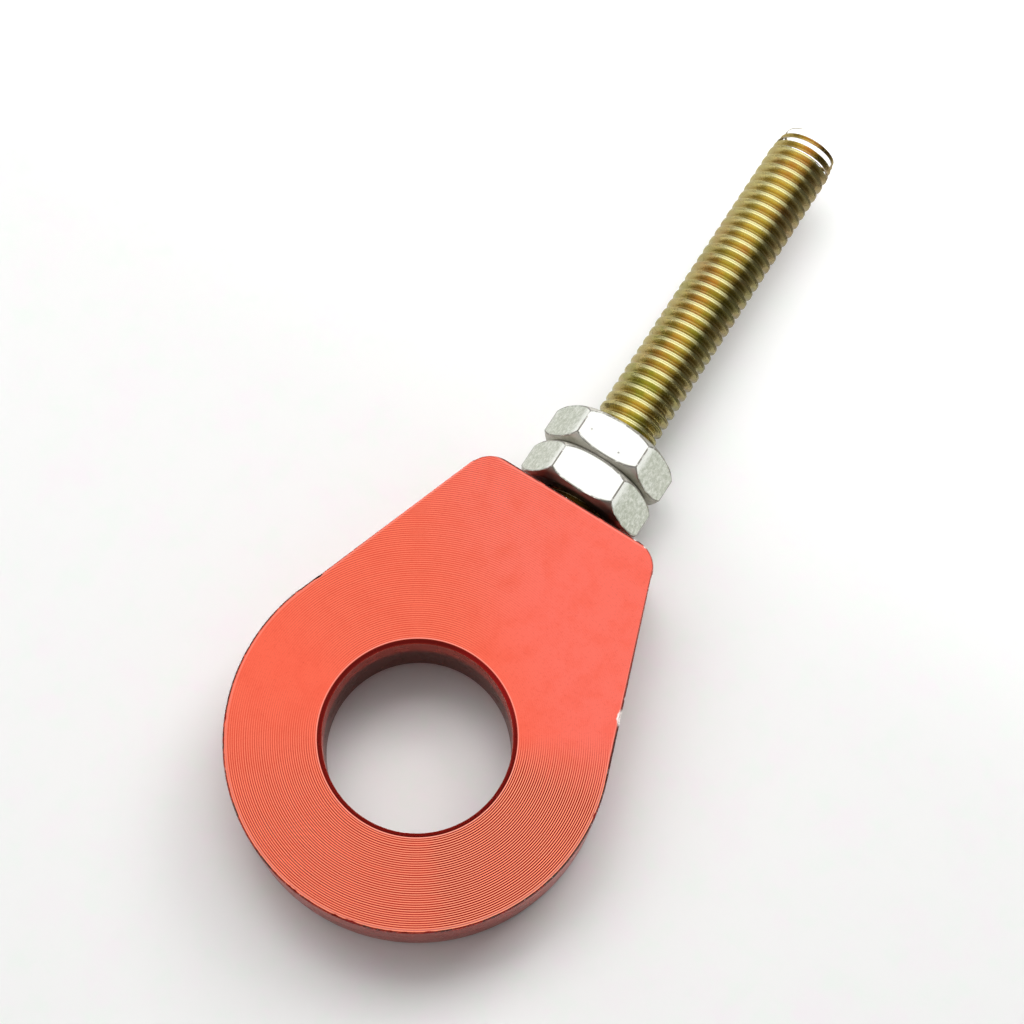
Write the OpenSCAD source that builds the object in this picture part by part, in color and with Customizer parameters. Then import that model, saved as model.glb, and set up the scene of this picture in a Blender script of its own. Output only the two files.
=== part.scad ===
// Motorcycle chain adjuster: an axle block with a threaded stud and two thin hex nuts.
// The origin is the centre of the axle bore at mid thickness. The bore runs along Z and the
// stud runs along +Y from the block's flat end.

/* [Axle block] */
// Thickness of the block
block_t = 8; // [7.5:0.25:12]
// Diameter of the axle bore
bore_d = 15.3; // [10:0.1:20]
// Chamfer at both mouths of the axle bore
bore_chamfer = 0.35; // [0.1:0.05:1]
// Radius of the round eye about the axle bore
eye_r = 15.5; // [12.5:0.25:20]
// Distance from the bore's centre to the flat end
end_y = 23.35; // [21:0.05:32]
// Width of the flat end between its sharp corners, before they are rounded
end_w = 16.8; // [12:0.2:24]
// Radius of the two corners of the flat end
corner_r = 2.5; // [1:0.1:4]
// Edge break along the outline of both faces
edge_break = 0.2; // [0.1:0.05:0.8]

/* [Stud] */
// Outer diameter of the thread, over its flattened crests
stud_d = 5.75; // [4.5:0.05:6.5]
// Pitch of the thread
pitch = 1; // [0.7:0.05:1.25]
// Flat on the thread crests, wide because the rod is thinner than the thread's nominal size
crest_flat = 0.27; // [0.1:0.01:0.35]
// Length of the stud that stands out of the block
stud_out = 40.3; // [32:0.1:60]
// Length of the stud screwed into the block
stud_in = 11.7; // [6:0.1:12.5]
// Chamfer at both ends of the stud
tip_chamfer = 0.6; // [0.2:0.05:1]
// Distance from the block's end to the first thread crest outside it
first_crest = 0.79; // [0:0.01:1]
// Depth of the tapped hole past the end of the stud, before the drill point
hole_spare = 0.4; // [0:0.1:0.8]
// Chamfer at the mouth of the tapped hole
mouth_chamfer = 0.4; // [0:0.05:0.8]

/* [Nuts] */
// Width of each nut across its flats
nut_af = 9.9; // [9:0.1:13]
// Thickness of each nut
nut_t = 3.65; // [2.5:0.05:5]
// Diameter of the flat ring left on each nut face by the corner chamfer
nut_face_d = 9.1; // [8:0.05:9.5]
// Angle of the corner chamfer, from the nut's face
nut_chamfer_angle = 30; // [15:1:35]
// Diameter of the countersink at each mouth of a nut's thread
nut_sink_d = 6.6; // [6:0.1:7.5]
// Gap between the block's end and the adjusting nut
nut_gap = 0.57; // [0.4:0.01:5]
// Turn of the adjusting nut about the stud, in degrees
adjusting_turn = -0.4; // [-30:0.1:30]
// Turn of the lock nut about the stud, in degrees
lock_turn = 1.6; // [-30:0.1:30]

/* [Clearances] */
// Gap between the thread crests and the wall of the tapped hole
seat_clearance = 0.02; // [0.01:0.01:0.05]
// Gap between the thread crests and the thread wall of a nut
thread_clearance = 0.05; // [0.01:0.01:0.1]

/* [Hidden] */
$fn = 96;

// Length by which a cutter passes the face that it cuts
past = 1;
// Depth by which the straight sides run inside the round ones, so that they cross and join cleanly
side_inset = 0.002;

// Outline of the block, worked out for its right half and mirrored for the left.
// The flank runs from the sharp corner of the flat end and touches the eye.
corner_far = norm([end_w / 2, end_y]);
flank_angle = atan2(end_y, end_w / 2) - acos(eye_r / corner_far);
flank_out = [cos(flank_angle), sin(flank_angle)];
eye_touch = (eye_r + past) * flank_out;
corner_y = end_y - corner_r;
corner_x = (eye_r - corner_r - flank_out.y * corner_y) / flank_out.x;
corner_c = [corner_x, corner_y];
flank_end = corner_c + (corner_r + past) * flank_out;
end_start = [corner_x, end_y + past];

// Thread form: 60 degree flanks, with a root flat of a sixth of the pitch
stud_r = stud_d / 2;
flank_half_angle = 30;
root_flat = pitch / 6;
thread_depth = (pitch - crest_flat - root_flat) / 2 / tan(flank_half_angle);
root_r = stud_r - thread_depth;
stud_start_y = end_y - stud_in;
stud_end_y = end_y + stud_out;
crest_zero_y = end_y + first_crest;
first_ring = floor((stud_start_y - crest_zero_y) / pitch) - 1;
last_ring = ceil((stud_end_y - crest_zero_y) / pitch) + 1;

// Tapped hole in the flat end, with the cone that its drill leaves
hole_r = stud_r + seat_clearance;
hole_depth = stud_in + hole_spare;
drill_point_angle = 118;
drill_point = hole_r / tan(drill_point_angle / 2);

// Nuts, each measured from its own inner face
nut_corner_r = nut_af / 2 / cos(30);
nut_face_r = nut_face_d / 2;
nut_chamfer_h = (nut_corner_r - nut_face_r) * tan(nut_chamfer_angle);
nut_bore_r = stud_r + thread_clearance;
nut_sink_h = max(0, nut_sink_d / 2 - nut_bore_r);
adjusting_nut_y = end_y + nut_gap;
lock_nut_y = adjusting_nut_y + nut_t;

function mirrored(p) = [-p.x, p.y];

// Disc of the block's thickness with both rims broken
module broken_disc(r) {
    h = block_t / 2;
    e = edge_break;
    rotate_extrude()
        polygon([[0, -h], [r - e, -h], [r, -h + e], [r, h - e], [r - e, h], [0, h]]);
}

// Everything on the inner side of one straight side, with both of its edges broken.
// The side lies at a distance from the origin, and out_angle is the way that it faces.
module straight_side(out_angle, distance) {
    h = block_t / 2;
    d = distance - side_inset;
    e = edge_break + side_inset;
    reach = 4 * end_y;
    rotate([0, 0, out_angle])
        rotate([90, 0, 0])
            linear_extrude(height = 2 * reach, center = true)
                polygon([
                    [-reach, -h - past], [d - e - past, -h - past], [d, -h + e],
                    [d, h - e], [d - e - past, h + past], [-reach, h + past]
                ]);
}

// The part of the block between the eye and the two rounded corners
module web() {
    intersection() {
        linear_extrude(height = block_t, center = true)
            polygon([
                [0, 0], eye_touch, flank_end, corner_c, end_start,
                mirrored(end_start), mirrored(corner_c), mirrored(flank_end), mirrored(eye_touch)
            ]);
        straight_side(flank_angle, eye_r);
        straight_side(180 - flank_angle, eye_r);
        straight_side(90, end_y);
    }
}

module axle_bore() {
    r = bore_d / 2;
    h = block_t / 2;
    c = bore_chamfer;
    rotate_extrude()
        polygon([
            [0, -h - past], [r + c + past, -h - past], [r, -h + c],
            [r, h - c], [r + c + past, h + past], [0, h + past]
        ]);
}

// Hole from the flat end towards the bore
module tapped_hole() {
    c = mouth_chamfer;
    translate([0, end_y, 0])
        rotate([90, 0, 0])
            rotate_extrude()
                polygon([
                    [0, -past], [hole_r + c + past, -past], [hole_r, c],
                    [hole_r, hole_depth], [0, hole_depth + drill_point]
                ]);
}

module axle_block() {
    color("#f0645a")
        difference() {
            union() {
                broken_disc(eye_r);
                web();
                for (side = [-1, 1])
                    translate([side * corner_x, corner_y, 0])
                        broken_disc(corner_r);
            }
            axle_bore();
            tapped_hole();
        }
}

// Half profile of one thread ring, about the middle of its crest
function ring(y) = [
    [root_r, y - pitch / 2 + root_flat / 2],
    [stud_r, y - crest_flat / 2],
    [stud_r, y + crest_flat / 2],
    [root_r, y + pitch / 2 - root_flat / 2]
];

module thread_rings() {
    crests = [for (i = [first_ring:last_ring]) each ring(crest_zero_y + i * pitch)];
    rotate_extrude()
        polygon(concat([[0, crests[0].y]], crests, [[0, crests[len(crests) - 1].y]]));
}

module adjuster_stud() {
    c = tip_chamfer;
    color("#c9a63c")
        rotate([-90, 0, 0])
            intersection() {
                thread_rings();
                rotate_extrude()
                    polygon([
                        [0, stud_start_y], [stud_r - c, stud_start_y], [stud_r, stud_start_y + c],
                        [stud_r, stud_end_y - c], [stud_r - c, stud_end_y], [0, stud_end_y]
                    ]);
            }
}

// Hex nut whose inner face lies at y, turned about the stud
module hex_nut(y, turn) {
    t = nut_t;
    s = nut_sink_h;
    translate([0, y, 0])
        rotate([0, turn, 0])
            rotate([-90, 0, 0])
                difference() {
                    intersection() {
                        cylinder(h = t, r = nut_corner_r, $fn = 6);
                        rotate_extrude()
                            polygon([
                                [0, 0], [nut_face_r, 0], [nut_corner_r, nut_chamfer_h],
                                [nut_corner_r, t - nut_chamfer_h], [nut_face_r, t], [0, t]
                            ]);
                    }
                    rotate_extrude()
                        polygon([
                            [0, -past], [nut_bore_r + s + past, -past], [nut_bore_r, s],
                            [nut_bore_r, t - s], [nut_bore_r + s + past, t + past], [0, t + past]
                        ]);
                }
}

module adjusting_nut() {
    color("#c9ccc8")
        hex_nut(adjusting_nut_y, adjusting_turn);
}

module lock_nut() {
    color("#d4d6d2")
        hex_nut(lock_nut_y, lock_turn);
}

axle_block();
adjuster_stud();
adjusting_nut();
lock_nut();
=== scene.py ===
# Chain adjuster on a pale table: axle block, threaded stud, adjusting nut and lock nut
import math
import bpy
from mathutils import Euler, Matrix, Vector


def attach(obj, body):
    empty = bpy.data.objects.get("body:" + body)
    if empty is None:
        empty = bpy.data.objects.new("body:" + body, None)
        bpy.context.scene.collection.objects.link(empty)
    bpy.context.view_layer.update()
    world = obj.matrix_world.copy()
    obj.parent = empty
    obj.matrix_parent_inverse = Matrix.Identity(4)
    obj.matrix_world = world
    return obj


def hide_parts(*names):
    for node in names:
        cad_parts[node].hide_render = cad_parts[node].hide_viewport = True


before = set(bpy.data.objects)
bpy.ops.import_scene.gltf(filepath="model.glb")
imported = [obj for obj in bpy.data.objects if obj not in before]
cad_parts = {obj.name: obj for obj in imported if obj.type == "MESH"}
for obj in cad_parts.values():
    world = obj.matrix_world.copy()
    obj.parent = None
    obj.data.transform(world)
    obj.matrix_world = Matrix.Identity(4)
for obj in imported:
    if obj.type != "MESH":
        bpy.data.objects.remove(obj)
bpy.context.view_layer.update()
mm = 0.001


# modelling helpers; points are given in millimetres
def point(x, y, z=0.0):
    return Vector((x, y, z)) * mm


def activate(piece):
    if bpy.context.mode != "OBJECT":
        bpy.ops.object.mode_set(mode="OBJECT")
    bpy.ops.object.select_all(action="DESELECT")
    piece.select_set(True)
    bpy.context.view_layer.objects.active = piece


def settle(piece):
    # the piece's place goes into its mesh
    activate(piece)
    bpy.ops.object.transform_apply(location=True, rotation=True, scale=True)
    return piece


def startLine(name, first):
    # a plane merged to one vertex, from which an outline is drawn
    bpy.ops.object.select_all(action="DESELECT")
    bpy.ops.mesh.primitive_plane_add(size=2 * mm, location=first)
    piece = settle(bpy.context.object)
    piece.name = piece.data.name = name
    bpy.ops.object.mode_set(mode="EDIT")
    bpy.ops.mesh.select_mode(type="VERT")
    bpy.ops.mesh.select_all(action="SELECT")
    bpy.ops.mesh.merge(type="CENTER")
    return piece


def endPoint(piece):
    piece.update_from_editmode()
    return next(v.co.copy() for v in piece.data.vertices if v.select)


def lineTo(piece, target):
    bpy.ops.mesh.extrude_region_move(
        TRANSFORM_OT_translate={"value": target - endPoint(piece)})


def arcRound(centre, degrees, steps, axis=(0, 0, 1)):
    # the operator turns clockwise, so the angle is negative
    bpy.ops.mesh.spin(steps=steps, angle=-math.radians(degrees), center=centre, axis=axis)


def closeShape(piece):
    bpy.ops.mesh.select_all(action="SELECT")
    bpy.ops.mesh.remove_doubles(threshold=0.0005 * mm)
    bpy.ops.mesh.normals_make_consistent(inside=False)
    bpy.ops.object.mode_set(mode="OBJECT")
    return piece


def turned(name, profile, steps):
    # profile of (radius, y) points, spun about the stud's axis
    piece = startLine(name, point(*profile[0]))
    for radius, y in profile[1:]:
        lineTo(piece, point(radius, y))
    bpy.ops.mesh.select_all(action="SELECT")
    arcRound((0, 0, 0), 360, steps, axis=(0, 1, 0))
    return closeShape(piece)


def bevelEdges(piece, wanted, width, segments):
    # wanted is asked about the two ends of each edge
    activate(piece)
    mesh = piece.data
    for part in (mesh.vertices, mesh.edges, mesh.polygons):
        part.foreach_set("select", [False] * len(part))
    for edge in mesh.edges:
        edge.select = wanted(*(mesh.vertices[i].co / mm for i in edge.vertices))
    bpy.ops.object.mode_set(mode="EDIT")
    bpy.ops.mesh.select_mode(type="EDGE")
    bpy.ops.mesh.bevel(offset=width * mm, offset_type="OFFSET", segments=segments, affect="EDGES")
    bpy.ops.object.mode_set(mode="OBJECT")


def applyModifier(piece, kind, **settings):
    activate(piece)
    made = piece.modifiers.new(kind.title(), kind)
    for key, value in settings.items():
        setattr(made, key, value)
    bpy.ops.object.modifier_apply(modifier=made.name)


def combine(piece, tool, operation, solver="EXACT"):
    applyModifier(piece, "BOOLEAN", operation=operation, solver=solver, object=tool)
    bpy.data.objects.remove(tool)


def dents(piece, places):
    # small round dents, one for each (x, y, z, radius)
    for x, y, z, radius in places:
        bpy.ops.object.select_all(action="DESELECT")
        bpy.ops.mesh.primitive_ico_sphere_add(
            subdivisions=2, radius=radius * mm, location=point(x, y, z))
        combine(piece, settle(bpy.context.object), "DIFFERENCE", "MANIFOLD")


def finishPiece(piece, body, nodes, material, smoothAngle=30):
    activate(piece)
    bpy.ops.object.shade_smooth_by_angle(angle=math.radians(smoothAngle))
    applyModifier(piece, "WEIGHTED_NORMAL", mode="FACE_AREA", weight=90, keep_sharp=True)
    piece.data.materials.clear()
    piece.data.materials.append(material)
    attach(piece, body)
    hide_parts(*nodes)
    print("made", piece.name, "with", len(piece.data.polygons), "faces")
    return piece


class Wire:
    # one value in a material; sums of wires add their Math nodes
    def __init__(self, finish, socket):
        self.finish, self.socket = finish, socket

    def maths(self, operation, first, second=0.0):
        return self.finish.node("ShaderNodeMath", {"operation": operation}, {0: first, 1: second})

    def __add__(self, other):
        return self.maths("ADD", self, other)

    def __radd__(self, other):
        return self.maths("ADD", other, self)

    def __sub__(self, other):
        return self.maths("SUBTRACT", self, other)

    def __rsub__(self, other):
        return self.maths("SUBTRACT", other, self)

    def __mul__(self, other):
        return self.maths("MULTIPLY", self, other)

    def __rmul__(self, other):
        return self.maths("MULTIPLY", other, self)

    def __truediv__(self, other):
        return self.maths("DIVIDE", self, other)

    def __rtruediv__(self, other):
        return self.maths("DIVIDE", other, self)

    def __pow__(self, other):
        return self.maths("POWER", self, other)

    def __abs__(self):
        return self.maths("ABSOLUTE", self)

    def lowest(self, other):
        return self.maths("MINIMUM", self, other)

    def highest(self, other):
        return self.maths("MAXIMUM", self, other)

    def root(self):
        return self.maths("SQRT", self)

    def wave(self):
        # 1 at each whole number and 0 half way between
        return 0.5 + 0.5 * self.maths("COSINE", self * (2 * math.pi))

    def rise(self, low, high):
        # smooth step from 0 at low to 1 at high
        return self.finish.node(
            "ShaderNodeMapRange", {"interpolation_type": "SMOOTHSTEP"},
            {"Value": self, "From Min": low, "From Max": high})

    def fall(self, low, high):
        return 1 - self.rise(low, high)


class Finish:
    def __init__(self, name, tree=None):
        if tree is None:
            self.material = bpy.data.materials.new(name)
            self.material.use_nodes = True
            tree = self.material.node_tree
            self.shader = tree.nodes["Principled BSDF"]
        self.tree = tree

    def node(self, kind, settings=None, inputs=None, output=0):
        made = self.tree.nodes.new(kind)
        for key, value in (settings or {}).items():
            setattr(made, key, value)
        for key, value in (inputs or {}).items():
            self.link(value, made.inputs[key])
        return Wire(self, made.outputs[output])

    def link(self, value, socket):
        if isinstance(value, Wire):
            self.tree.links.new(value.socket, socket)
        elif socket.type == "RGBA":
            socket.default_value = (*value, 1.0)
        else:
            socket.default_value = value

    def place(self):
        # object coordinates: the vector, and x, y and z in millimetres
        where = self.node("ShaderNodeTexCoord", output="Object")
        split = self.node("ShaderNodeSeparateXYZ", inputs={0: where}).socket.node
        return where, [Wire(self, split.outputs[i]) * 1000 for i in range(3)]

    def noise(self, where, scale, detail=3.0, rough=0.5, stretch=(1, 1, 1), shift=(0, 0, 0)):
        # scale in features for each millimetre
        size = self.node("ShaderNodeMapping", inputs={
            "Vector": where, "Location": shift, "Scale": [1000 * scale * s for s in stretch]})
        return self.node("ShaderNodeTexNoise", inputs={
            "Vector": size, "Scale": 1.0, "Detail": detail, "Roughness": rough})

    def lineNoise(self, value, detail=2.0):
        return self.node("ShaderNodeTexNoise", {"noise_dimensions": "1D"}, {
            "W": value, "Scale": 1.0, "Detail": detail})

    def blend(self, amount, first, second, how="MIX"):
        # amount 0 gives the first colour
        made = self.node("ShaderNodeMix", {"data_type": "RGBA", "blend_type": how}).socket.node
        self.link(amount, made.inputs[0])
        self.link(first, made.inputs[6])
        self.link(second, made.inputs[7])
        return Wire(self, made.outputs[2])

    def set(self, **sockets):
        for name, value in sockets.items():
            self.link(value, self.shader.inputs[name.replace("_", " ")])

    def bump(self, height, depth):
        return self.node("ShaderNodeBump", inputs={"Height": height, "Distance": depth * mm})


block = {
    "thickness": 8.0, "boreRadius": 7.65, "eyeRadius": 15.5, "endY": 23.35,
    "flankAngle": 18.86, "cornerX": 6.412, "cornerRadius": 2.5,
    "rimBreak": 0.2, "boreChamfer": 0.35,
    "holeRadius": 2.895, "holeDepth": 12.1, "drillPoint": 1.74, "mouthChamfer": 0.4,
    "arcSteps": 160, "boreSteps": 160,
    # how far a knock's colour passes its dent
    "spread": {"blotch": 0.04, "dirt": 0.03, "bare": 0.07},
    # knocks along the upper rim: kind, x, y, direction in degrees, length and width
    "knocks": [
        ("blotch", 2.32, -15.33, 8.6, 0.4, 0.15), ("blotch", 3.62, -15.07, 13.5, 1.2, 0.16),
        ("blotch", -1.40, -15.44, -5.2, 0.4, 0.14), ("blotch", -1.95, -15.38, -7.0, 0.2, 0.12),
        ("blotch", -0.05, -15.50, 0.0, 0.3, 0.11), ("blotch", -3.48, -15.10, -13.0, 0.1, 0.10),
        ("blotch", 9.22, -12.46, 36.5, 0.6, 0.14), ("blotch", 6.60, -14.02, 25.2, 0.3, 0.11),
        ("blotch", 7.63, -13.49, 29.5, 0.3, 0.11), ("blotch", 13.31, -7.94, 59.2, 0.3, 0.10),
        ("blotch", 11.63, -10.25, 48.6, 0.3, 0.11), ("blotch", -13.83, -6.99, -63.2, 0.5, 0.14),
        ("blotch", -12.91, -8.58, -56.4, 0.3, 0.11), ("blotch", 15.33, 2.26, 98.4, 0.5, 0.15),
        ("blotch", 15.21, 2.96, 101.0, 0.3, 0.11), ("dirt", 15.13, -3.38, 77.4, 0.2, 0.12),
        ("dirt", 13.50, 8.40, 108.9, 1.5, 0.13), ("dirt", 8.60, 22.60, 135.0, 0.5, 0.11),
        ("dirt", -14.00, 6.65, 64.6, 0.6, 0.11), ("dirt", -13.10, 9.62, 71.1, 0.9, 0.11),
        ("dirt", -10.90, 16.10, 71.1, 0.9, 0.11), ("bare", 7.10, 23.27, -20.0, 0.1, 0.09),
        ("bare", 6.10, 23.35, 0.0, 0.1, 0.07), ("bare", 12.88, 10.08, 108.9, 1.0, 0.24),
        ("bare", 12.45, 11.60, 108.9, 0.3, 0.11), ("bare", 11.00, 15.85, 108.9, 0.3, 0.10)],
}


def outlineDepth(x, y):
    # how far inside the block's outline a point lies
    b = block
    a = math.radians(b["flankAngle"])
    across, along = x * math.cos(a) + y * math.sin(a), y * math.cos(a) - x * math.sin(a)
    cornerX, cornerY = b["cornerX"], b["endY"] - b["cornerRadius"]
    if along < 0:
        return b["eyeRadius"] - math.hypot(x, y)
    if x > cornerX and along > cornerY * math.cos(a) - cornerX * math.sin(a):
        return b["cornerRadius"] - math.hypot(x - cornerX, y - cornerY)
    return min(b["eyeRadius"] - across, b["endY"] - y)


def makeBlock(material):
    b = block
    half = b["thickness"] / 2
    cornerY = b["endY"] - b["cornerRadius"]
    a = math.radians(b["flankAngle"])

    def onFlank(centreX, centreY, radius, side):
        return point(side * (centreX + radius * math.cos(a)), centreY + radius * math.sin(a), -half)

    # outline: round the eye, up one flank, over the end and down the other flank
    piece = startLine("axle_block_turned", onFlank(0, 0, b["eyeRadius"], -1))
    arcRound((0, 0, 0), 180 + 2 * b["flankAngle"], b["arcSteps"])
    lineTo(piece, onFlank(b["cornerX"], cornerY, b["cornerRadius"], 1))
    arcRound(point(b["cornerX"], cornerY, -half), 90 - b["flankAngle"], 16)
    lineTo(piece, point(-b["cornerX"], b["endY"], -half))
    arcRound(point(-b["cornerX"], cornerY, -half), 90 - b["flankAngle"], 16)
    lineTo(piece, onFlank(0, 0, b["eyeRadius"], -1))
    bpy.ops.mesh.select_all(action="SELECT")
    bpy.ops.mesh.remove_doubles(threshold=0.0005 * mm)
    bpy.ops.mesh.edge_face_add()
    bpy.ops.mesh.extrude_region_move(TRANSFORM_OT_translate={"value": point(0, 0, 2 * half)})
    closeShape(piece)

    bpy.ops.object.select_all(action="DESELECT")
    bpy.ops.mesh.primitive_cylinder_add(
        vertices=b["boreSteps"], radius=b["boreRadius"] * mm, depth=6 * half * mm)
    combine(piece, bpy.context.object, "DIFFERENCE")

    def onFace(p, q):
        return abs(abs(p.z) - half) < 0.001 and abs(p.z - q.z) < 0.001

    def boreRim(p, q):
        return onFace(p, q) and all(abs(math.hypot(e.x, e.y) - b["boreRadius"]) < 0.01 for e in (p, q))

    def outerRim(p, q):
        ends = (p, q, (p + q) / 2)
        return onFace(p, q) and all(outlineDepth(abs(e.x), e.y) < 0.02 for e in ends)

    bevelEdges(piece, boreRim, b["boreChamfer"], 1)
    bevelEdges(piece, outerRim, b["rimBreak"], 2)

    # tapped hole with its drill point and mouth chamfer
    r, m = b["holeRadius"], b["mouthChamfer"]
    top, foot = b["endY"], b["endY"] - b["holeDepth"]
    combine(piece, turned("hole", [
        (0, top + 1), (r + m + 1, top + 1), (r, top - m), (r, foot), (0, foot - b["drillPoint"])], 48),
        "DIFFERENCE")
    for kind, x, y, lie, length, width in b["knocks"]:
        d = math.radians(lie)
        count = max(1, round(length / 0.22))
        steps = [0.22 * (k - (count - 1) / 2) for k in range(count)]
        dents(piece, [(x + step * math.cos(d), y + step * math.sin(d), half + 0.06, width)
                      for step in steps])
    return finishPiece(piece, "axle_block", ["axle_block"], material)


anodised = {
    # coral towards the stud's right side, deeper towards the eye
    "coral": (0.87, 0.152, 0.110), "coralDeep": (0.86, 0.130, 0.074), "coralLow": (0.81, 0.102, 0.055),
    # the rings' dark and pale lines are painted shade and painted highlight
    "ringShade": (0.27, 0.0, 0.0), "ringHighlight": (1.0, 0.35, 0.21), "ringPitch": 0.1775,
    # how plainly the rings' painted reflection shows: direction in degrees, spread and amount
    "ringSheenSweeps": [(-10, 0.7, 0.95), (-75, -0.2, 0.72), (130, 0.6, 0.26)], "plain": 0.025,
    "outerWall": (0.38, 0.022, 0.013), "wallCoat": 0.35,
    # the bore wall's deep colour is painted shade towards its bottom
    "boreWall": (0.62, 0.075, 0.045), "boreShade": (0.06, 0.008, 0.005),
    # the bore's chamfer: dark as painted shade, paler towards litWay as painted light
    "chamfer": (0.24, 0.003, 0.003), "chamferLit": (0.50, 0.004, 0.008), "litWay": 70,
    "blotch": (0.26, 0.006, 0.004),
    "dirt": (0.045, 0.014, 0.012), "bare": (0.95, 0.86, 0.82), "pink": (1.0, 0.40, 0.33),
}


def redAnodised():
    c, b = anodised, block
    f = Finish("redAnodised")
    where, (x, y, z) = f.place()
    a = math.radians(b["flankAngle"])
    radius = (x * x + y * y).root()
    across = abs(x) * math.cos(a) + y * math.sin(a)
    along = (y * math.cos(a) - abs(x) * math.sin(a)).lowest(0)
    inside = (b["eyeRadius"] - (across * across + along * along).root()).lowest(b["endY"] - y)
    down = b["thickness"] / 2 - abs(z)
    rim = inside.highest(down)
    boreRim = (radius - b["boreRadius"]).highest(down)
    face = down.fall(0.02, 0.12)
    bore = (radius - b["boreRadius"]).fall(0.25, 0.5)

    # turning rings as painted reflection: a wide dark line of painted shade and a narrow bright line of painted
    # highlight
    turn = radius / c["ringPitch"] + 0.3 * f.lineNoise(radius * 0.9)
    ring = turn.wave().rise(0.05, 0.72)
    uneven = f.lineNoise(radius * 3.1, 3)
    # the painted ring reflection is plainer towards some directions
    ringSheen = c["plain"]
    for angle, low, amount in c["ringSheenSweeps"]:
        d = math.radians(angle)
        towards = (x * math.cos(d) + y * math.sin(d)) / radius
        ringSheen = towards.rise(low, 1.0) * amount + ringSheen
    grain = f.noise(where, 2.2, 5, 0.65)
    ringSheen = (ringSheen * (0.5 + 0.6 * uneven + 0.4 * grain)).lowest(1)
    streak = f.noise(where, 0.5, 4, 0.6)
    coral = f.blend((0.6 * x + 0.8 * y).rise(4, 14), c["coralDeep"], c["coral"])
    coral = f.blend(streak.rise(0.4, 0.75) * 0.4, coral, c["coralLow"])
    ringed = f.blend(ring, c["ringHighlight"], c["ringShade"])
    colour = f.blend(ringSheen, coral, ringed)

    # small dark specks
    speck = f.noise(where, 2.8, 4, 0.6, shift=(1, 5, 2)).rise(0.745, 0.78)
    colour = f.blend(speck * 0.6, colour, c["blotch"])
    colour = f.blend(f.noise(where, 4.5, 3, 0.7).rise(0.5, 0.7) * 0.12, colour, c["blotch"])
    # light catches the inner edge of both rims
    glint = abs(rim - 0.27).fall(0.03, 0.08) * 0.3
    glint = (abs(boreRim - 0.41).fall(0.02, 0.07) * 0.5).highest(glint)
    colour = f.blend(glint, colour, c["pink"])

    def facing(degrees):
        d = math.radians(degrees)
        return (x * math.cos(d) + y * math.sin(d)) / radius

    outer = f.blend(grain.rise(0.3, 0.7), c["outerWall"], [1.3 * v for v in c["outerWall"]])
    # painted shade: the bore's wall darkens towards its bottom
    inner = f.blend(z.rise(0.2, 1.9), c["boreShade"], c["boreWall"])
    wall = f.blend(bore, outer, inner)
    colour = f.blend(face, wall, colour)

    # rims: a dark line on the broken edge, then the knocks
    broken = f.noise(where, 0.9, 5, 0.7)
    keep = broken.rise(0.36, 0.44) * y.rise(-11, -5) + broken.rise(0.5, 0.56) * y.fall(-11, -5)
    line = rim.fall(0.16, 0.24) * (down - inside).rise(-0.17, -0.09) * keep
    dirt = line.lowest(1) * 0.92
    colour = f.blend(dirt, colour, c["dirt"])
    # painted light and shade on the bore's chamfer, paler on the side towards litWay
    mouthLitAndShaded = f.blend(facing(c["litWay"]).rise(0.8, 1.0), c["chamfer"], c["chamferLit"])
    colour = f.blend(boreRim.fall(0.25, 0.38) * 0.9, colour, mouthLitAndShaded)
    flakes = f.noise(where, 2.4, 4, 0.7, shift=(3, 7, 1))
    colour = f.blend(rim.fall(0.04, 0.16) * flakes.rise(0.61, 0.67), colour, c["bare"])
    ragged = 0.9 * (f.noise(where, 3.5, 3, 0.65) - 0.5)
    upper = z.rise(b["thickness"] / 2 - 0.4, b["thickness"] / 2 - 0.2)
    for kind in ("blotch", "dirt", "bare"):
        marks = 0
        for mark, knockX, knockY, lie, length, width in b["knocks"]:
            if mark != kind:
                continue
            d = math.radians(lie)
            dx, dy = x - knockX, y - knockY
            lengthways = (dx * math.cos(d) + dy * math.sin(d)) / (length / 2 + 0.12)
            sideways = (dy * math.cos(d) - dx * math.sin(d)) / (width + b["spread"][kind])
            away = (lengthways * lengthways + sideways * sideways).root()
            marks = (away + ragged).fall(0.85, 1.25).highest(marks)
        colour = f.blend(marks * upper, colour, c[kind])

    height = ring * face + 0.4 * grain
    f.set(Base_Color=colour, Metallic=(1 - 0.8 * dirt) * (1 - 0.45 * bore * (1 - face)),
          Roughness=0.22 + 0.1 * streak + 0.3 * dirt,
          Coat_Weight=(1 - face) * (1 - bore) * c["wallCoat"], Coat_Roughness=0.15,
          Specular_Tint=(1.0, 0.55, 0.48), Normal=f.bump(height, 0.002))
    return f.material


stud = {
    "crestRadius": 2.875, "pitch": 1.0, "startY": 11.65, "endY": 63.65, "crestY": 32.14,
    "chamfer": 0.6, "steps": 56,
    # half of the rolled thread: distance from the middle of the crest, and depth below the crest
    "halfThread": [
        (0.5, 0.488), (0.44, 0.476), (0.39, 0.438), (0.165, 0.035), (0.145, 0.006),
        (0.13, 0.0), (0.05, 0.001), (0.02, 0.022), (0.0, 0.026)],
    # lead-in at the tip: radius below the crest, and distance from the end
    "tip": [(-0.05, 2.9), (0.08, 1.9), (0.2, 1.1), (0.36, 0.5), (0.46, 0.15), (0.6, 0.0)],
}


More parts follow.
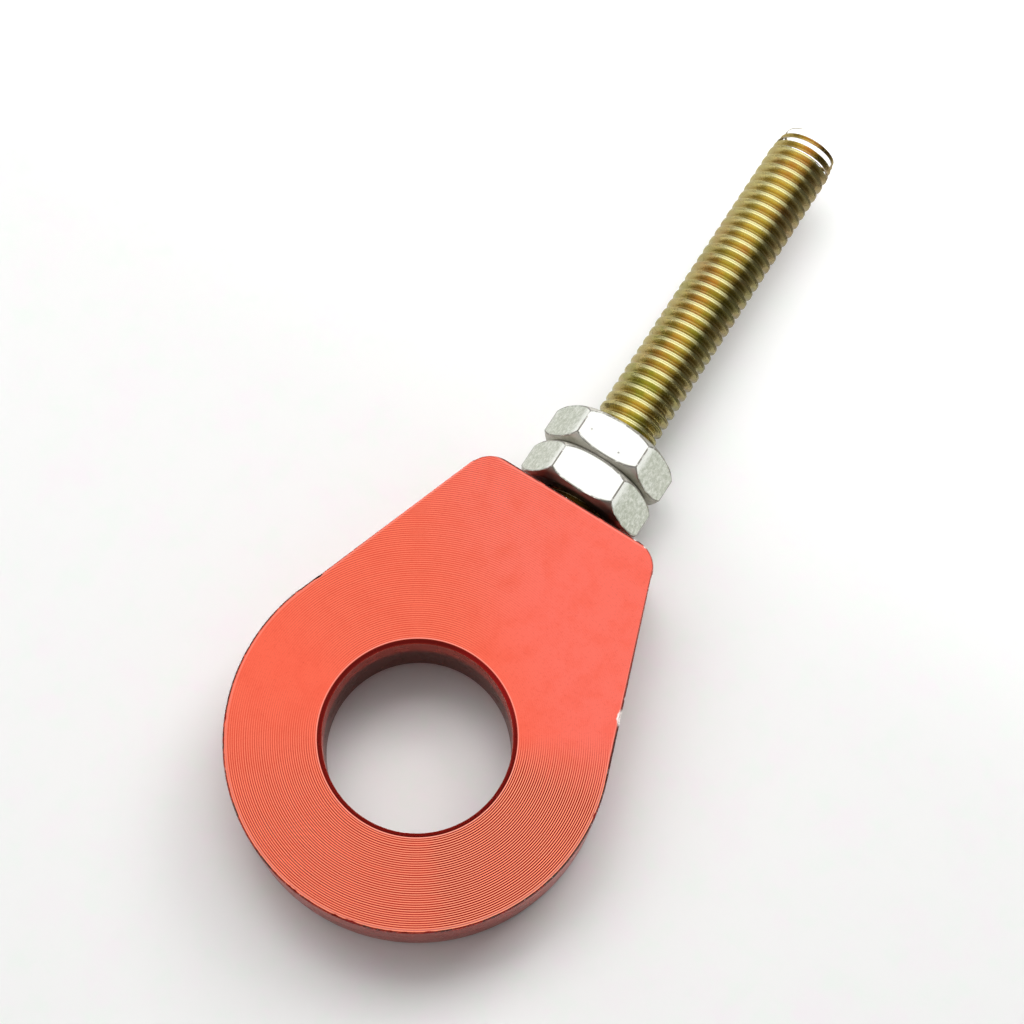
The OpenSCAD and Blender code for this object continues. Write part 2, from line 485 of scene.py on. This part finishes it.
def makeStud(material):
    s = stud
    p, crest = s["pitch"], s["crestRadius"]
    # the profile stands at the +x side, a quarter turn on from the top
    first = s["crestY"] + p / 4
    first -= p * (math.ceil((first - s["startY"]) / p) + 2)
    turns = math.ceil((s["endY"] - first) / p) + 2
    half = s["halfThread"]
    profile = [(crest - depth, first - along) for along, depth in half]
    profile += [(crest - depth, first + along) for along, depth in reversed(half[:-1])]
    piece = startLine("adjuster_stud_threaded", point(*profile[0]))
    for radius, y in profile[1:]:
        lineTo(piece, point(radius, y))
    applyModifier(piece, "SCREW", axis="Y", angle=2 * math.pi, screw_offset=p * mm,
                  iterations=turns, steps=s["steps"], render_steps=s["steps"],
                  use_merge_vertices=True, merge_threshold=0.0005 * mm)
    bpy.ops.object.mode_set(mode="EDIT")
    bpy.ops.mesh.select_all(action="SELECT")
    bpy.ops.mesh.remove_doubles(threshold=0.0005 * mm)
    for y, ends in ((s["startY"] - 0.2, {"clear_inner": True}), (s["endY"] + 0.2, {"clear_outer": True})):
        bpy.ops.mesh.select_all(action="SELECT")
        bpy.ops.mesh.bisect(plane_co=point(0, y), plane_no=(0, 1, 0), use_fill=True, **ends)
    closeShape(piece)
    c, r = s["chamfer"], crest + 0.05
    low, high = s["startY"], s["endY"]
    combine(piece, turned("envelope", [
        (0, low), (crest - c, low), (r, low + c + 0.05),
        *[(crest - inset, high - back) for inset, back in s["tip"]], (0, high)], 96), "INTERSECT")
    return finishPiece(piece, "axle_block", ["adjuster_stud"], material)


passivated = {
    # crest is a painted highlight; the valley and side colours are painted shade
    "crest": (1.0, 0.94, 0.50), "gold": (0.80, 0.68, 0.27), "valleyShade": (0.60, 0.44, 0.12),
    "copper": (0.62, 0.30, 0.12), "green": (0.38, 0.43, 0.10), "grey": (0.46, 0.42, 0.31),
    "tip": (0.36, 0.31, 0.24), "sideShade": (0.25, 0.205, 0.085), "shaded": 0.62,
    # painted shade where the block and the first nut hide the thread
    "grimeAndShade": (0.10, 0.04, 0.018), "gapShadeY": 24.0,
}


def yellowZinc():
    c = passivated
    f = Finish("yellowZinc")
    where, (x, y, z) = f.place()
    radius = (x * x + z * z).root()
    depth = stud["crestRadius"] - radius
    patch = f.noise(where, 0.32, 3, 0.55, stretch=(1, 0.8, 1))
    other = f.noise(where, 0.38, 3, 0.55, shift=(5, 2, 9))
    fine = f.noise(where, 2.5, 4, 0.6)
    nicks = f.noise(where, 6.0, 3, 0.65)
    # painted shade: darker down in the thread's valleys
    colour = f.blend(depth.rise(0.1, 0.4), c["gold"], c["valleyShade"])
    # copper towards the tip, green towards the nuts
    warm = (patch.rise(0.42, 0.66) * y.rise(26, 54)).highest(0.6 * patch.rise(0.52, 0.66))
    colour = f.blend(warm * 0.6, colour, c["copper"])
    cool = other.rise(0.44, 0.62) * y.fall(40, 62)
    colour = f.blend(cool * 0.6, colour, c["green"])
    colour = f.blend(fine.rise(0.6, 0.8) * 0.5, colour, c["grey"])
    # painted highlight: the crests on the upper side are painted bright
    crestHighlight = depth.fall(0.01, 0.07) * (z / radius).rise(0.72, 0.97) * (0.45 + 0.8 * nicks).lowest(1)
    colour = f.blend(crestHighlight, colour, c["crest"])
    # painted shade down the sides and in the gap at the block; duller at the tip
    colour = f.blend((z / radius).fall(0.55, 1.0) * c["shaded"], colour, c["sideShade"])
    tip = y.rise(stud["endY"] - 0.7, stud["endY"] - 0.1)
    colour = f.blend(tip * 0.6, colour, c["tip"])
    colour = f.blend(y.fall(c["gapShadeY"], c["gapShadeY"] + 0.2) * 0.75, colour, c["grimeAndShade"])
    f.set(Base_Color=colour, Metallic=1.0, Roughness=0.17 + 0.18 * fine,
          Normal=f.bump(0.6 * fine + nicks, 0.011))
    return f.material


nut = {
    "acrossFlats": 9.9, "thickness": 3.65,
    # corner chamfer, from the flat ring outwards: radius and height from the face
    "corner": [(4.56, 0.0), (4.97, 0.24), (5.2, 0.32), (5.36, 0.43), (5.52, 0.58), (5.82, 0.92)],
    "boreRadius": 2.925, "sinkRadius": 3.3, "edgeBevel": 0.08,
    "adjusting": {"y": 23.92, "turn": -0.4, "shade": 1.0, "pits": []},
    "lock": {"y": 27.57, "turn": 1.6, "shade": 0.0, "pits": [(-1.79, 29.14, 4.99, 0.07), (1.13, 28.6, 4.99, 0.12)]},
}


def makeNut(name, node, own, material):
    n = nut
    y, t = own["y"], n["thickness"]
    radius = n["acrossFlats"] / 2 / math.cos(math.radians(30))
    bpy.ops.object.select_all(action="DESELECT")
    bpy.ops.mesh.primitive_cylinder_add(
        vertices=6, radius=radius * mm, depth=t * mm, location=point(0, y + t / 2),
        rotation=(math.pi / 2, math.radians(30 + own["turn"]), 0))
    piece = settle(bpy.context.object)
    piece.name = piece.data.name = name
    inner = [(r, y + h) for r, h in n["corner"]]
    outer = [(r, y + t - h) for r, h in reversed(n["corner"])]
    combine(piece, turned("corners", [(0, y), *inner, *outer, (0, y + t)], 96), "INTERSECT")
    r, sink = n["boreRadius"], n["sinkRadius"] - n["boreRadius"]
    combine(piece, turned("threadHole", [
        (0, y - 1), (r + sink + 1, y - 1), (r, y + sink), (r, y + t - sink),
        (r + sink + 1, y + t + 1), (0, y + t + 1)], 96), "DIFFERENCE")
    applyModifier(piece, "BEVEL", width=n["edgeBevel"] * mm, segments=2, limit_method="ANGLE",
                  angle_limit=math.radians(20))
    dents(piece, own["pits"])
    return finishPiece(piece, node, [node], material)


plated = {
    "zinc": (0.91, 0.92, 0.87), "dullAndShaded": (0.66, 0.69, 0.60), "dark": (0.40, 0.43, 0.33),
    "grimeAndShade": (0.40, 0.355, 0.28), "edge": (0.13, 0.11, 0.085), "gap": (0.20, 0.14, 0.11),
}


def brightZinc(name, own):
    c, n = plated, nut
    f = Finish(name)
    where, (x, y, z) = f.place()
    apothem = n["acrossFlats"] / 2
    # how far out a point lies towards each pair of flats
    reach = []
    for k in (0, 60, 120):
        d = math.radians(k + own["turn"])
        reach.append(abs(x * math.sin(d) + z * math.cos(d)))
    first = reach[0].highest(reach[1]).highest(reach[2])
    last = reach[0].lowest(reach[1]).lowest(reach[2])
    middle = reach[0] + reach[1] + reach[2] - first - last
    side = (apothem - middle) / math.sin(math.radians(60))
    inward = apothem - first
    height = (y - own["y"]).lowest(own["y"] + n["thickness"] - y)
    flat = inward.fall(0.02, 0.06)

    grain = f.noise(where, 2.8, 5, 0.75)
    cloud = f.noise(where, 0.5, 3, 0.5)
    # painted shade: the side flats are painted duller and darker than the top one
    sideFlatShade = abs(reach[0] - apothem).rise(0.3, 1.0)
    mottle = grain.rise(0.3, 0.7)
    colour = f.blend(mottle * (0.12 + 0.5 * sideFlatShade), c["zinc"], c["dullAndShaded"])
    colour = f.blend(sideFlatShade * (0.15 + 0.6 * mottle + 0.25 * cloud), colour, c["dark"])
    # corner chamfers are painted darker, and edges hold some grime
    radius = (x * x + z * z).root()
    beyond = radius - n["corner"][1][0]
    rounded = n["corner"][1][1] + beyond * (0.35 + 0.5 * beyond)
    edge = side.fall(0.05, 0.13).highest((height - rounded).fall(0.04, 0.14)) * flat
    worn = f.noise(where, 1.3, 3, 0.6, shift=(2, 4, 4)).rise(0.3, 0.5)
    colour = f.blend((1 - flat) * height.rise(0.0, 0.05) * 0.55, colour, c["grimeAndShade"])
    colour = f.blend(height.fall(0.03, 0.1) * 0.7, colour, c["edge"])
    colour = f.blend(edge * worn * 0.85, colour, c["edge"])
    # the side towards the block is in the dark of the gap
    hidden = (y - own["y"]).fall(0.7, 1.1) * (1 - flat) * own["shade"]
    colour = f.blend(hidden * 0.6, colour, c["gap"])
    f.set(Base_Color=colour, Metallic=(0.45 + 0.55 * flat).highest(hidden),
          Roughness=0.16 + 0.16 * grain * flat + 0.24 * (1 - flat), Normal=f.bump(grain, 0.006))
    return f.material


print("modelling the block")
makeBlock(redAnodised())
print("modelling the stud")
makeStud(yellowZinc())
print("modelling the nuts")
for own in ("adjusting", "lock"):
    makeNut(own + "_nut_chamfered", own + "_nut", nut[own], brightZinc(own + "Zinc", nut[own]))


table = {
    "slope": -1.284, "touchY": -15.3, "touchZ": -4.0, "size": 3000, "colour": (0.935, 0.935, 0.925),
    "mottle": [(0.96, 0.88, 0.93), (0.88, 0.955, 0.89)],
    # painted light: the table washes out to white towards the far end, for camera rays
    "washFrom": 20, "washTo": 60, "paintedLightWash": 0.2, "farFrom": 95, "farTo": 450, "far": 0.6,
}


def makeTable():
    t = table
    bpy.ops.object.select_all(action="DESELECT")
    bpy.ops.mesh.primitive_plane_add(
        size=t["size"] * mm, location=point(0, t["touchY"], t["touchZ"]),
        rotation=(math.radians(t["slope"]), 0, 0))
    floor = bpy.context.object
    floor.name = "table_top"
    f = Finish("paleTable")
    where, (x, y, z) = f.place()
    colour = t["colour"]
    for way, tint in enumerate(t["mottle"]):
        cloud = f.noise(where, 0.22 + 0.13 * way, 4, 0.6, shift=(3 * way, 0, 0))
        colour = f.blend(cloud.rise(0.45, 0.75) * 0.5, colour, tint)
    seen = f.node("ShaderNodeLightPath", output="Is Camera Ray")
    # painted light on the table, seen by the camera only
    paintedLightWash = (y + t["touchY"]).rise(t["washFrom"], t["washTo"]) * t["paintedLightWash"]
    away = (x * x + y * y).root().rise(t["farFrom"], t["farTo"]) * t["far"]
    f.set(Base_Color=colour, Roughness=0.8, Specular_IOR_Level=0.2,
          Emission_Color=f.blend((paintedLightWash + away) * seen, (0, 0, 0), (1, 1, 1)), Emission_Strength=1.0)
    floor.data.materials.append(f.material)


tent = {
    "radius": 450, "top": (-0.12, 0.25, 0.96), "edge": (0.64, 0.97),
    "bright": 1.22, "grey": 0.5, "dark": 0.32, "darkSide": (0.8, -0.6),
    # a dark flag that stands beside the stud: place, ends, foot and top, glow at the foot and near the top
    "flag": {"x": 5.6, "ends": (33.5, 75), "heights": (-4.4, 8.0), "glow": (0.38, 0.05), "soft": 0.5},
}


def makeTent():
    # a light tent that only the metal reflects: bright at the top, dark at the right and front
    t = tent
    bpy.ops.object.select_all(action="DESELECT")
    bpy.ops.mesh.primitive_uv_sphere_add(
        segments=48, ring_count=24, radius=t["radius"] * mm, location=point(0, 20))
    shell = settle(bpy.context.object)
    shell.name = "light_tent"
    bpy.ops.object.mode_set(mode="EDIT")
    bpy.ops.mesh.select_all(action="SELECT")
    bpy.ops.mesh.bisect(plane_co=point(0, 0, -8), plane_no=(0, 0, 1), clear_inner=True)
    bpy.ops.object.mode_set(mode="OBJECT")
    f = Finish("tentCloth")
    where, (x, y, z) = f.place()
    y = y - 20
    top = Vector(t["top"]).normalized()
    overhead = (x * top.x + y * top.y + z * top.z) / t["radius"]
    side = (x * t["darkSide"][0] + y * t["darkSide"][1]) / t["radius"]
    low = t["grey"] + (t["dark"] - t["grey"]) * side.rise(-0.5, 0.4)
    glow = low + (t["bright"] - low) * overhead.rise(*t["edge"])
    f.set(Base_Color=(0, 0, 0), Specular_IOR_Level=0.0, Roughness=1.0,
          Emission_Color=f.blend(glow / t["bright"], (0, 0, 0), (1, 1, 1)), Emission_Strength=t["bright"])
    shell.data.materials.append(f.material)

    g = t["flag"]
    (near, far), (foot, top) = g["ends"], g["heights"]
    bpy.ops.object.select_all(action="DESELECT")
    bpy.ops.mesh.primitive_plane_add(
        size=mm, location=point(g["x"], (near + far) / 2, (foot + top) / 2),
        rotation=(math.pi / 2, 0, math.pi / 2))
    flag = bpy.context.object
    flag.name = "dark_flag"
    flag.scale = (far - near, top - foot, 1)
    settle(flag)
    f = Finish("flagCloth")
    where, (x, y, z) = f.place()
    low, high = g["glow"]
    glow = low + (high - low) * z.rise(foot, top - 3) + g["soft"] * z.rise(top - 3.5, top)
    f.set(Base_Color=(0, 0, 0), Specular_IOR_Level=0.0, Roughness=1.0,
          Emission_Color=f.blend(glow, (0, 0, 0), (1, 1, 1)), Emission_Strength=1.0)
    flag.data.materials.append(f.material)
    for card in (shell, flag):
        card.visible_camera = card.visible_diffuse = card.visible_shadow = False


light = {
    "skyDiffuse": 0.21, "reach": 550, "size": 260,
    # panels: turn from the stud's end of the picture, height in degrees, and watts
    "panels": [(-40, 40, 0.98), (-40, 60, 0.26), (0, 60, 0.78), (40, 60, 0.52), (40, 40, 0.21),
               (90, 45, 0.21), (0, 82, 0.31)],
    "from": 122.8,
}


def makeLight():
    l = light
    world = bpy.data.worlds.new("studio")
    world.use_nodes = True
    bpy.context.scene.world = world
    tree = world.node_tree
    tree.nodes.clear()
    f = Finish("studio", tree)
    path = f.node("ShaderNodeLightPath").socket.node
    seen = [Wire(f, path.outputs[kind]) for kind in (
        "Is Camera Ray", "Is Glossy Ray", "Is Transmission Ray")]
    shown = seen[0].highest(seen[1]).highest(seen[2])
    strength = l["skyDiffuse"] + (1 - l["skyDiffuse"]) * shown
    backdrop = f.node("ShaderNodeBackground", inputs={"Color": (1, 1, 1), "Strength": strength})
    out = tree.nodes.new("ShaderNodeOutputWorld")
    tree.links.new(backdrop.socket, out.inputs["Surface"])

    for number, (turn, height, watts) in enumerate(l["panels"]):
        lamp = bpy.data.lights.new("panel", "AREA")
        lamp.energy, lamp.size = watts, l["size"] * mm
        box = bpy.data.objects.new("panel_" + str(number + 1), lamp)
        bpy.context.scene.collection.objects.link(box)
        # the tent gives the metal its reflections, the panels the light and shadow
        box.visible_glossy = False
        d, e = math.radians(l["from"] + turn), math.radians(height)
        box.location = point(0, 15) + l["reach"] * mm * Vector((
            math.cos(e) * math.cos(d), math.cos(e) * math.sin(d), math.sin(e)))
        box.rotation_euler = (point(0, 15) - box.location).to_track_quat("-Z", "Y").to_euler()


camera = {"place": (19.771, -25.059, 180.278), "angles": (15.9583, -1.3924, 32.4184), "lens": 78.61}


def makeCamera():
    c = camera
    view = bpy.data.objects.new("camera", bpy.data.cameras.new("camera"))
    bpy.context.scene.collection.objects.link(view)
    view.location = point(*c["place"])
    view.rotation_euler = Euler([math.radians(a) for a in c["angles"]])
    view.data.lens, view.data.sensor_width = c["lens"], 36
    view.data.clip_start, view.data.clip_end = 0.005, 20
    bpy.context.scene.camera = view


print("setting the table, tent, light and camera")
makeTable()
makeTent()
makeLight()
makeCamera()
bpy.context.scene.view_settings.view_transform = "Standard"
